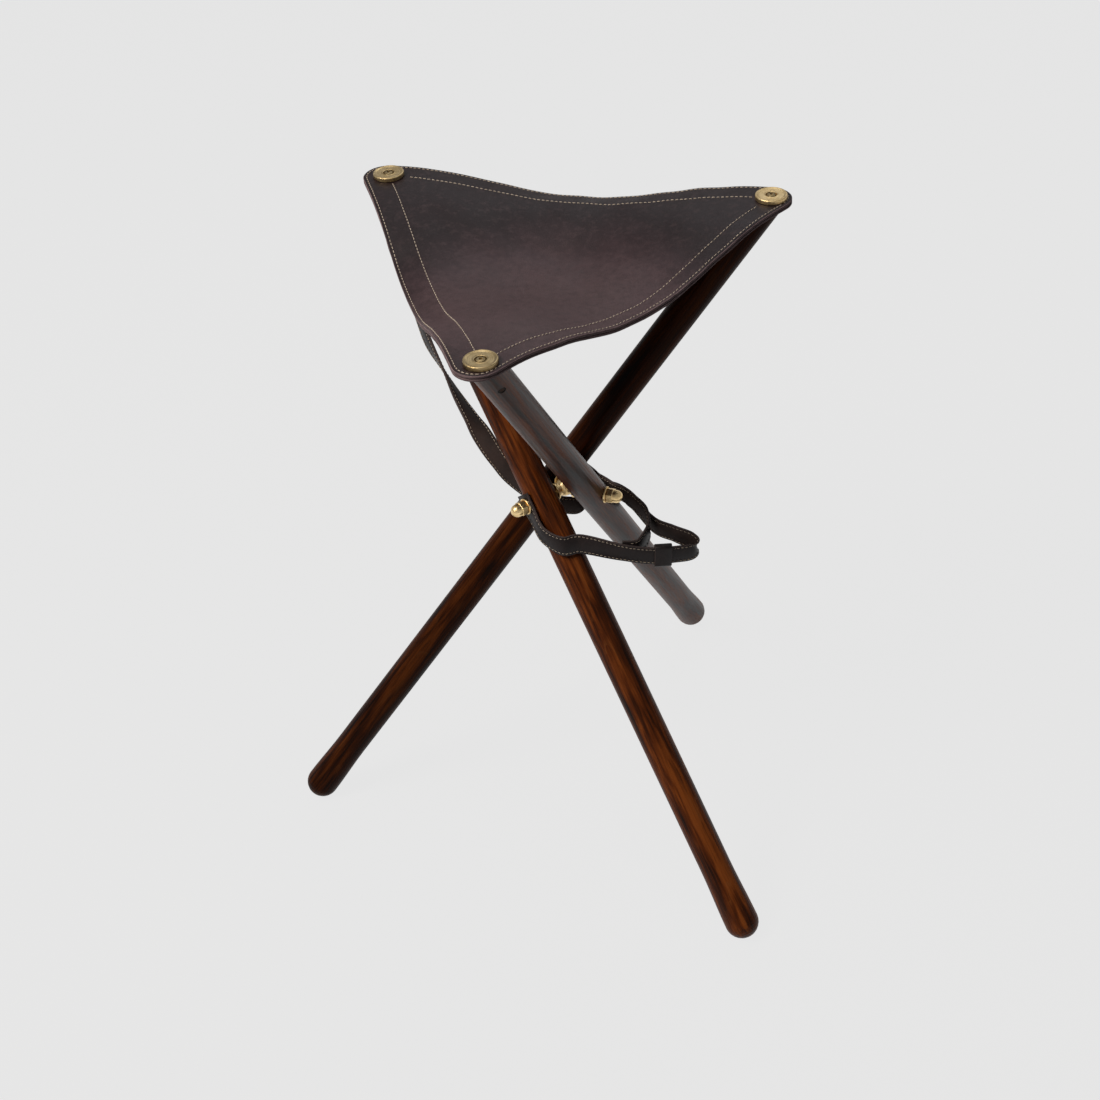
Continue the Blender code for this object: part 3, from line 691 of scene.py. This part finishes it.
def seat_shells():
    """Closed panel and closed border under it, as one mesh with the grain, flesh and edge materials."""
    bm = bmesh.new()
    outer = seat_outline(-CORNER_RADIUS, CORNER_RADIUS)
    eased = seat_outline(-CORNER_RADIUS + LEATHER_EDGE, CORNER_RADIUS - LEATHER_EDGE)
    inner = seat_outline(BORDER_LAP, BORDER_INNER_RADIUS)

    half = PANEL_THICKNESS / 2
    plan = lerp_rows(eased, inner, MARGIN_SHARES)
    plan += [[point * share for point in inner] for share in MIDDLE_SHARES]
    top = layer_rows(plan, -half)
    bottom = layer_rows(plan, half)
    rim = rim_rows(outer, (-half + LEATHER_EDGE, 0, half - LEATHER_EDGE))
    slots = [GRAIN] * (len(top) - 1) + [EDGE] * (len(rim) + 1) + [FLESH] * (len(bottom) - 1)
    add_rows(bm, top[::-1] + rim + bottom, slots)

    half = BORDER_THICKNESS / 2
    lap = seat_outline(BORDER_LAP - LEATHER_EDGE, BORDER_INNER_RADIUS + LEATHER_EDGE)
    plan = lerp_rows(eased, lap, MARGIN_SHARES)
    top = layer_rows(plan, BORDER_OFFSET - half)
    bottom = layer_rows(plan, BORDER_OFFSET + half)
    levels = BORDER_OFFSET + (-half + LEATHER_EDGE), BORDER_OFFSET + (half - LEATHER_EDGE)
    hem = rim_rows(inner, levels)
    rim = rim_rows(outer, levels)
    turn = [EDGE] * (len(rim) + 1)
    slots = [FLESH] * (len(top) - 1) + turn + [GRAIN] * (len(bottom) - 1) + turn
    add_rows(bm, top + hem + bottom[::-1] + rim[::-1], slots, loop_rows=True)

    bmesh.ops.remove_doubles(bm, verts=bm.verts, dist=MERGE_DISTANCE)
    return cut_holes(bm, [(corner, UP, SCREW_HOLE, HOLE_REACH) for corner in CORNERS.values()])


STITCH_PITCH = 0.0042
STITCH_LENGTH = 0.0030
THREAD_RADIUS = 0.00042
DISC_CLEAR = 0.0165
SEAM_STEPS = 120
SEAM_MARGIN = 0.0032


def seat_stitch_lines():
    """Plan lines of the two rows of sewing: disc to disc, and close to the edge."""
    lines = []
    legs = list(PLAN_CORNERS)
    for first, second in zip(legs, legs[1:] + legs[:1]):
        a, b = PLAN_CORNERS[first], PLAN_CORNERS[second]
        clear = DISC_CLEAR / (b - a).length
        lines.append([a.lerp(b, clear + (1 - 2 * clear) * i / SEAM_STEPS) for i in range(SEAM_STEPS + 1)])
    edge = seat_outline(-CORNER_RADIUS + SEAM_MARGIN, CORNER_RADIUS - SEAM_MARGIN)
    lines.append([*edge, edge[0]])
    return lines


# Distance from the axis towards a disc, where a corner piece begins
CUT_LINE = 0.120
ON_PLANE = 0.00001
BISECT_DISTANCE = 0.000001
SEAT_CENTRE = Vector((AXIS.x, AXIS.y, PANEL_MIDDLE))


def region(x, y):
    """Which corner a place belongs to, and whether it is beyond the line where the corner begins."""
    here = Vector((x, y)) - AXIS
    leg = max(OUTWARD, key=lambda name: here.dot(OUTWARD[name]))
    return leg, here.dot(OUTWARD[leg]) > CUT_LINE


def lies_on(edge, place, normal):
    return all(abs((vert.co - place).dot(normal)) < ON_PLANE for vert in edge.verts)


def close_cuts(bm, cuts):
    """Flat faces over the cut edges, one cutting plane at a time."""
    middle = [vert for vert in bm.verts if (vert.co.to_2d() - AXIS).length < ON_PLANE]
    seam = bm.edges.new(middle) if len(middle) == 2 else None
    for place, normal in cuts:
        unclosed = [edge for edge in bm.edges if edge.is_boundary and edge != seam]
        ring = [edge for edge in unclosed if lies_on(edge, place, normal)]
        if seam is not None and any(vert in edge.verts for edge in ring for vert in middle):
            ring.append(seam)
        bmesh.ops.edgenet_fill(bm, edges=ring, mat_nr=EDGE)


def seat_cuts():
    """Planes between the pieces of the seat, each a place and a direction."""
    cuts = []
    for outward in OUTWARD.values():
        across = Matrix.Rotation(radians(60), 2) @ outward
        cuts.append((SEAT_CENTRE, Vector((-across.y, across.x, 0))))
        cuts.append((SEAT_CENTRE + CUT_LINE * outward.to_3d(), outward.to_3d()))
    return cuts


def seat_stitches():
    """Start, end and direction of each stitch, on both sides of the leather, for each piece of the seat."""
    stitches = {}
    top = -PANEL_THICKNESS / 2
    under = BORDER_OFFSET + BORDER_THICKNESS / 2
    for line in seat_stitch_lines():
        spots = walk(line, STITCH_PITCH)
        for first, second in zip(spots, spots[1:]):
            middle = (first + second) / 2
            reach = (second - first).normalized() * STITCH_LENGTH / 2
            ends = middle - reach, middle + reach
            normal = seat_normal(middle)
            here = stitches.setdefault(region(*(middle + AXIS)), [])
            here.append((seat_point(ends[0], top), seat_point(ends[1], top), normal))
            here.append((seat_point(ends[0], under), seat_point(ends[1], under), -normal))
    return stitches


def seat_piece(name, faces, cuts, stitches):
    """Piece of the seat from its faces, shaded as if the leather were whole."""
    bm = bmesh.new()
    copies = {}
    normals = []
    for face in faces:
        corners = []
        for vert in face.verts:
            if vert not in copies:
                copies[vert] = bm.verts.new(vert.co)
            corners.append(copies[vert])
            normals.append(vert.normal.copy())
        copy = bm.faces.new(corners)
        copy.material_index = face.material_index
        copy.smooth = True
    close_cuts(bm, cuts)
    for start, end, normal in stitches:
        add_stitch(bm, start, end, normal, THREAD_RADIUS)
    obj = new_piece(name, bm, [SEAT_GRAIN, SEAT_FLESH, RAW_EDGE, THREAD])
    bm.free()
    own = [Vector((0, 0, 0))] * (len(obj.data.loops) - len(normals))
    obj.data.normals_split_custom_set([tuple(normal) for normal in normals + own])
    return obj


def make_seat():
    """The seat as pieces that meet without a gap: three corners and three thirds of the middle."""
    whole = seat_shells()
    cuts = seat_cuts()
    for place, normal in cuts:
        geometry = whole.verts[:] + whole.edges[:] + whole.faces[:]
        bmesh.ops.bisect_plane(whole, geom=geometry, dist=BISECT_DISTANCE, plane_co=place, plane_no=normal)
    whole.normal_update()
    shares = {}
    for face in whole.faces:
        spot = face.calc_center_median()
        shares.setdefault(region(spot.x, spot.y), []).append(face)
    stitches = seat_stitches()
    pieces = {}
    for (leg, is_corner), faces in shares.items():
        name = f"seat_leather_{'corner' if is_corner else 'middle'}_{leg}"
        pieces[leg, is_corner] = seat_piece(name, faces, cuts, stitches.get((leg, is_corner), []))
    whole.free()
    return pieces


def clip(points, place, normal):
    """The part of a flat outline that lies behind a line."""
    kept = []
    for a, b in zip(points, points[1:] + points[:1]):
        depth_a, depth_b = (a - place).dot(normal), (b - place).dot(normal)
        if depth_a <= 0:
            kept.append(a)
        if depth_a * depth_b < 0:
            kept.append(a.lerp(b, depth_a / (depth_a - depth_b)))
    return kept


def flat_cut(leg, is_corner):
    """Width, length and leather area of a piece before it sags, in the panel and the border together."""
    outward = OUTWARD[leg]
    edge = seat_outline(-CORNER_RADIUS, CORNER_RADIUS)
    hem = seat_outline(BORDER_LAP, BORDER_INNER_RADIUS)
    shares = []
    for points in (edge, hem):
        points = clip(points, CUT_LINE * outward, -outward if is_corner else outward)
        for other in OUTWARD.values():
            points = clip(points, Vector((0, 0)), other - outward)
        shares.append(points)
    areas = [abs(sum(a.cross(b) for a, b in zip(points, points[1:] + points[:1]))) / 2 for points in shares]
    ahead = [point.dot(outward) for point in shares[0]]
    aside = [point.cross(outward) for point in shares[0]]
    size = round(max(aside) - min(aside), 4), round(max(ahead) - min(ahead), 4)
    return size, round(2 * areas[0] - areas[1], 5)


for (leg, is_corner), piece in make_seat().items():
    cut, leather_area = flat_cut(leg, is_corner)
    if is_corner:
        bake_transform(piece)
    else:
        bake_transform(piece)
    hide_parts("seat_panel", "seat_border")


# Straps

ROUTE_STEPS = 8


def smooth_route(points):
    """Points on a smooth curve through the route's own points."""
    padded = [2 * points[0] - points[1], *points, 2 * points[-1] - points[-2]]
    route = []
    for a, b, c, d in zip(padded, padded[1:], padded[2:], padded[3:]):
        for i in range(ROUTE_STEPS):
            t = i / ROUTE_STEPS
            bend = (2 * a - 5 * b + 4 * c - d) * t * t + (3 * b - a - 3 * c + d) * t**3
            route.append(b + ((c - a) * t + bend) / 2)
    return [*route, points[-1]]


def strap_frames(stops):
    """Centre, width direction and face normal along a strap."""
    centres = smooth_route([point for point, _ in stops])
    across = smooth_route([width for _, width in stops])
    frames = []
    for i, (centre, width) in enumerate(zip(centres, across)):
        run = centres[min(i + 1, len(centres) - 1)] - centres[max(i - 1, 0)]
        side = (width - width.project(run)).normalized()
        frames.append((centre, side, side.cross(run).normalized()))
    return frames


STRAP_EDGE_ROUND = 0.0006
KEEPER_EDGE_ROUND = 0.0005


def strap_section(width, thickness, edge):
    """Points round a strap's section, and the material of the band after each."""
    w, h = width / 2, thickness / 2
    points = [(-w + edge, h), (0, h), (w - edge, h), (w, h - edge), (w, -h + edge)]
    points += [(w - edge, -h), (0, -h), (-w + edge, -h), (-w, -h + edge), (-w, h - edge)]
    return points, [GRAIN] * 2 + [EDGE] * 3 + [FLESH] * 2 + [EDGE] * 3


STRAP_STITCH_PITCH = 0.0038
STRAP_STITCH_LENGTH = 0.0027
STRAP_SEAM_MARGIN = 0.0022
STRAP_THREAD_RADIUS = 0.00032


def sew_strap(bm, frames):
    """A row of stitches along both edges, on both faces."""
    beside_edge = STRAP_WIDTH / 2 - STRAP_SEAM_MARGIN
    for level in (1, -1):
        marks = [level * normal for _, _, normal in frames]
        for offset in (beside_edge, -beside_edge):
            line = [c + offset * side + level * STRAP_THICKNESS / 2 * normal for c, side, normal in frames]
            steps = [0.0]
            for a, b in zip(line, line[1:]):
                steps.append(steps[-1] + (b - a).length)
            at = 0
            for k in range(1, int(steps[-1] / STRAP_STITCH_PITCH) - 1):
                middle = k * STRAP_STITCH_PITCH
                while steps[at + 1] < middle:
                    at += 1
                share = (middle - steps[at]) / (steps[at + 1] - steps[at])
                spot = line[at].lerp(line[at + 1], share)
                reach = (line[at + 1] - line[at]).normalized() * STRAP_STITCH_LENGTH / 2
                normal = marks[at].lerp(marks[at + 1], share).normalized()
                add_stitch(bm, spot - reach, spot + reach, normal, STRAP_THREAD_RADIUS)


def make_strap(name, stops, leg):
    """Sewn strap along its stops, with a hole for the stud of one leg, and its length."""
    frames = strap_frames(stops)
    section, slots = strap_section(STRAP_WIDTH, STRAP_THICKNESS, STRAP_EDGE_ROUND)
    bm = bmesh.new()
    rows = [[centre + x * side + y * normal for centre, side, normal in frames] for x, y in section]
    grid = add_rows(bm, rows, slots, loop_rows=True, loop_points=False)
    for column in (0, -1):
        face = bm.faces.new([row[column] for row in grid])
        face.material_index = EDGE
    bm = cut_holes(bm, [(beside(leg, 0, 0), arm(leg), STUD_HOLE, STRAP_WIDTH)])
    sew_strap(bm, frames)
    obj = new_piece(name, bm, [STRAP_GRAIN, STRAP_FLESH, STRAP_EDGE, THREAD])
    bm.free()
    smooth_by_angle(obj)
    run_length = sum((b[0] - a[0]).length for a, b in zip(frames, frames[1:]))
    return obj, run_length


# Stops of the long strap on both sides of the keeper
KEEPER_FROM = from_hub(93, -69, -45)
KEEPER_TO = from_hub(70, -68, -43.7)


def long_strap_stops():
    """From under the seat, past the front leg, behind the crossing, round the loop and back in front."""
    corner = PLAN_CORNERS["front"]
    inward = (PLAN_CORNERS["rear"] - corner).normalized()
    outward = Vector((inward.y, -inward.x))

    def sewn(steps, drop=0.0):
        """Stop under the border, counted from the middle of the front leg's disc."""
        below = BORDER_OFFSET + BORDER_THICKNESS / 2 + SEWN_ROOM + STRAP_THICKNESS / 2 + drop * ROUTE_STEP
        plan = corner + steps * ROUTE_STEP * inward + STRAP_SEWN_IN * outward
        width = seat_point(plan + GAP * outward) - seat_point(plan - GAP * outward)
        return seat_point(plan, below), width.normalized()

    return [
        sewn(84),
        sewn(74),
        sewn(64),
        sewn(56, 1.5),
        sewn(51, 10),
        (from_hub(-126.5, 112, 205), Vector((-0.8, 0.6, 0))),
        (from_hub(-121.5, 111, 178), Vector((-0.3, 0.9, -0.2))),
        (from_hub(-118, 116, 154), Vector((-0.3, 0.9, -0.2))),
        (from_hub(-114.5, 113.5, 133), Vector((-0.3, 0.9, -0.3))),
        (from_hub(-108.5, 101, 113.5), Vector((-0.3, 0.8, -0.4))),
        (from_hub(-98.5, 85, 93.5), Vector((0.0, 0.8, -0.4))),
        (from_hub(-89.3, 70, 74.5), Vector((0.2, 0.85, -0.1))),
        (from_hub(-78, 51, 56.5), Vector((0.1, 0.8, 0.35))),
        (from_hub(-66.5, 32.5, 38), Vector((0.05, 0.55, 0.8))),
        (from_hub(-56.5, 22, 22), Vector((0, 0.2, 0.95))),
        (past_leg("front", 26, 82, 11.2), UP),
        (past_leg("front", 5, 109, 10.2), UP),
        (past_leg("front", -9, 133, 14), UP),
        (past_leg("rear", -24.5, 159, 14.5), UP),
        (past_leg("rear", -34.5, 166, 5.2), UP),
        (past_leg("rear", -54, 213, 7), UP),
        (past_leg("rear", -64.5, 255, 9), UP),
        (past_leg("rear", -59, 316, 10), UP),
        (from_hub(79, -33, -33), UP),
        (from_hub(95, -54, -31.5), UP),
        (from_hub(109.5, -61.5, -36.5), UP),
        (from_hub(113.5, -66, -40.5), UP),
        (from_hub(108.5, -69.5, -44), UP),
        (KEEPER_FROM, UP),
        (KEEPER_TO, UP),
        (from_hub(42, -63.5, -38), UP),
        (past_leg("front", -54, -104, 7.5), UP + along_leg("front")),
        (past_leg("front", -48, -58, 6.5), UP + along_leg("front")),
        (past_leg("front", -32, -17, 4), UP),
        (beside("front", -12 * ROUTE_STEP, 0), UP),
        (beside("front", 0, 0), UP),
        (beside("front", 11 * ROUTE_STEP, 0), UP),
    ]


def tab_stops():
    """Short strap from the left leg's nut, round the rear leg, to the back of the long strap."""
    return [
        (on_stud("left", -11, 0), UP),
        (on_stud("left", 0, 0), UP),
        (on_stud("left", 12, -2), UP),
        (on_stud("left", 21, -8) - 2 * ROUTE_STEP * arm("left"), UP),
        (past_leg("rear", -40.5, 240, 14.5), UP),
        (past_leg("rear", -39, 268, 7), UP + along_leg("rear")),
        (past_leg("rear", -33.5, 314, 6), UP + along_leg("rear")),
        (from_hub(58.5, -7, -15), UP),
        (from_hub(64.5, -18, -16.5), UP),
        (from_hub(72.5, -31, -22.5), UP),
        (from_hub(72, -45, -31.5), UP),
        (from_hub(60, -57, -40), UP),
        (from_hub(44, -58.5, -38.5), UP),
    ]


KEEPER_ROUNDING = 0.9
QUARTER_STEPS = 8


def make_keeper():
    """Band round the strap, and its length."""
    run = (KEEPER_TO - KEEPER_FROM).normalized()
    upright = (UP - UP.project(run)).normalized()
    through = run.cross(upright)
    middle = (KEEPER_FROM + KEEPER_TO) / 2
    room = KEEPER_ROOM + KEEPER_THICKNESS / 2
    high = STRAP_WIDTH / 2 + room
    deep = STRAP_THICKNESS / 2 + room
    radius = deep * KEEPER_ROUNDING
    frames = []
    for quarter, (side, level) in enumerate(((1, 1), (-1, 1), (-1, -1), (1, -1))):
        centre = middle + through * side * (deep - radius) + upright * level * (high - radius)
        for step in range(QUARTER_STEPS + 1):
            angle = pi / 2 * (quarter + step / QUARTER_STEPS)
            spoke = cos(angle) * through + sin(angle) * upright
            frames.append((centre + radius * spoke, run, spoke))
    section, slots = strap_section(KEEPER_LENGTH, KEEPER_THICKNESS, KEEPER_EDGE_ROUND)
    bm = bmesh.new()
    rows = [[centre + x * side + y * normal for centre, side, normal in frames] for x, y in section]
    add_rows(bm, rows, slots, loop_rows=True)
    bmesh.ops.recalc_face_normals(bm, faces=bm.faces)
    obj = new_piece("keeper_band", bm, [STRAP_GRAIN, STRAP_FLESH, STRAP_EDGE])
    bm.free()
    smooth_by_angle(obj)
    centres = [centre for centre, _, _ in frames]
    return obj, sum((b - a).length for a, b in zip(centres, centres[1:] + centres[:1]))


carry, carry_length = make_strap("carry_strap", long_strap_stops(), "front")
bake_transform(carry)
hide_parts("long_strap")

tab, tab_length = make_strap("keeper_tab", tab_stops(), "left")
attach(tab, "hub")
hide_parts("strap_tab")

keeper, keeper_round = make_keeper()
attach(keeper, "hub")
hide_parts("strap_keeper")


# Materials of the CAD nodes that stay

def paint(node, material):
    obj = frame["nodes"][node]
    obj.data.materials.clear()
    obj.data.materials.append(material)


# Per-leg scale of the stain's colour: painted light and shade, darker on the left leg that the seat shades
# and paler on the lit front and rear legs
WOOD_PAINTED_LIGHT = {"left": 0.48, "front": 1.35, "rear": 1.1}
WOOD_GLOSS = {"left": 0.04, "front": 0.08, "rear": 0.11}
WOOD_COAT = {"left": 0.02, "front": 0.06, "rear": 0.08}
GRAIN_SHIFT = (0.31, 0.17, 0.05)
# Per-disc scale of the brass colour on three like discs: painted light and shade
DISC_PAINTED_LIGHT = {"left": 0.85, "front": 0.66, "rear": 0.48}
DISC_SHEEN = (0.32, 0.44)
FASTENER = brass("worn_brass", sheen=(0.30, 0.44), bright=1.1)
# Screw heads darkened as painted shade, for the dark hollow in the recess at each disc's middle
SCREW = brass("dark_brass", bright=0.35)


def leg_wood(leg, number):
    shift = [number * part for part in GRAIN_SHIFT]
    look = WOOD_PAINTED_LIGHT[leg], WOOD_GLOSS[leg], WOOD_COAT[leg]
    return wood(f"stained_beech_{leg}", along_leg(leg), shift, *look)


def leg_plug(leg):
    axis = beside(leg, 0, DOWEL_TURN) - on_axis(leg, 0)
    return plug_wood(f"plug_wood_{leg}", on_axis(leg, LEG_TO_DISC - DOWEL_DROP), axis)


for number, leg in enumerate(ARM_ANGLES):
    paint(f"leg_{leg}", leg_wood(leg, number))
    paint(f"cross_dowel_{leg}", leg_plug(leg))
    disc = brass(f"turned_disc_{leg}", DISC_SHEEN, CORNERS[leg], UP, DISC_PAINTED_LIGHT[leg])
    paint(f"seat_disc_{leg}", disc)
    paint(f"seat_screw_{leg}", SCREW)
    for kind in ("inner_washer", "outer_washer", "cap_nut"):
        paint(f"{kind}_{leg}", FASTENER)
paint("three_way_bolt", FASTENER)


# Stage, light and camera

PAPER = 0.79
PAPER_GLOW = 0.86  # makes up for the share of the floor's own dimmer shade
FLOOR_SHADE = 0.26
SHADOW_SHARE = 0.10
FLOOR_REACH = 40
SKY = (0.92, 0.96, 1.0)
WARM = (1.0, 0.94, 0.87)
PALE_WARM = (1.0, 0.98, 0.96)
SKY_STRENGTH = 0.03
MIRRORED_SHARE = 0.40


def paper_floor():
    """Floor that shows as even paper with a faint shadow, and that glossy pieces mirror."""
    n = Nodes("paper_floor")
    n.finish(Base_Color=tint((FLOOR_SHADE,) * 3), Roughness=0.9, Specular_IOR_Level=0.1)
    path = n.add("ShaderNodeLightPath")
    seen = n.maths("MULTIPLY", path.outputs["Is Camera Ray"], 1 - SHADOW_SHARE)
    glow = n.add("ShaderNodeEmission")
    glow.inputs["Color"].default_value = tint((PAPER_GLOW,) * 3)
    glow.inputs["Strength"].default_value = 1.0
    blend = n.add("ShaderNodeMixShader")
    n.feed(blend.inputs[0], n.maths("ADD", seen, path.outputs["Is Glossy Ray"]))
    n.feed(blend.inputs[1], n.shader.outputs[0])
    n.feed(blend.inputs[2], glow.outputs[0])
    n.feed(n.tree.nodes["Material Output"].inputs["Surface"], blend.outputs[0])
    return n.material


def make_floor():
    bm = bmesh.new()
    bmesh.ops.create_grid(bm, x_segments=1, y_segments=1, size=FLOOR_REACH)
    floor = new_piece("floor", bm, [paper_floor()])
    bm.free()


def make_world():
    """Dim sky that the camera sees as paper, and that glossy pieces see in part."""
    world = bpy.context.scene.world or bpy.data.worlds.new("studio")
    bpy.context.scene.world = world
    world.use_nodes = True
    tree = world.node_tree
    background = tree.nodes["Background"]
    background.inputs["Color"].default_value = tint(SKY)
    background.inputs["Strength"].default_value = SKY_STRENGTH
    paper = tree.nodes.new("ShaderNodeBackground")
    paper.inputs["Color"].default_value = tint((PAPER,) * 3)
    paper.inputs["Strength"].default_value = 1.0
    path = tree.nodes.new("ShaderNodeLightPath")
    share = tree.nodes.new("ShaderNodeMath")
    share.operation = "MULTIPLY_ADD"
    share.inputs[1].default_value = MIRRORED_SHARE
    choose = tree.nodes.new("ShaderNodeMixShader")
    tree.links.new(path.outputs["Is Glossy Ray"], share.inputs[0])
    tree.links.new(path.outputs["Is Camera Ray"], share.inputs[2])
    tree.links.new(share.outputs[0], choose.inputs[0])
    tree.links.new(background.outputs[0], choose.inputs[1])
    tree.links.new(paper.outputs[0], choose.inputs[2])
    tree.links.new(choose.outputs[0], tree.nodes["World Output"].inputs["Surface"])


def area_light(name, place, target, size, power, colour):
    light = bpy.data.lights.new(name, "AREA")
    light.shape = "RECTANGLE"
    light.size, light.size_y = size
    light.energy = power
    light.color = colour
    obj = bpy.data.objects.new(name, light)
    obj.location = place
    obj.rotation_euler = (Vector(target) - Vector(place)).to_track_quat("-Z", "Y").to_euler()
    bpy.context.scene.collection.objects.link(obj)


# Camera fitted to the photograph: its directions, its place from the crossing and its focal length in pixels
CAMERA_RIGHT = Vector((0.9882, -0.1401, -0.0619))
CAMERA_UP = Vector((0.1330, 0.5854, 0.7998))
CAMERA_FROM_HUB = Vector((-0.1597, -1.4904, 1.0424))
FOCAL_PIXELS = 1912.3
PHOTO_PIXELS = 1100
SENSOR_WIDTH = 36.0


def make_camera():
    data = bpy.data.cameras.new("photo_camera")
    data.sensor_width = SENSOR_WIDTH
    data.lens = SENSOR_WIDTH * FOCAL_PIXELS / PHOTO_PIXELS
    camera = bpy.data.objects.new("photo_camera", data)
    turn = Matrix((CAMERA_RIGHT, CAMERA_UP, CAMERA_RIGHT.cross(CAMERA_UP))).transposed().to_4x4()
    camera.matrix_world = Matrix.Translation(HUB + CAMERA_FROM_HUB) @ turn
    bpy.context.scene.collection.objects.link(camera)
    bpy.context.scene.camera = camera


make_floor()
make_world()
area_light("window_behind", (0.7, 1.7, 2.4), target=(0, 0, 0.45), size=(1.6, 1.0), power=7, colour=SKY)
area_light("key_left", (-1.4, -0.6, 2.2), target=(0, 0, 0.35), size=(0.9, 0.9), power=36, colour=WARM)
area_light("top", (-0.3, 0.1, 2.6), target=(0, 0, 0.5), size=(1.2, 1.2), power=11, colour=PALE_WARM)
make_camera()
bpy.context.scene.view_settings.view_transform = "Standard"
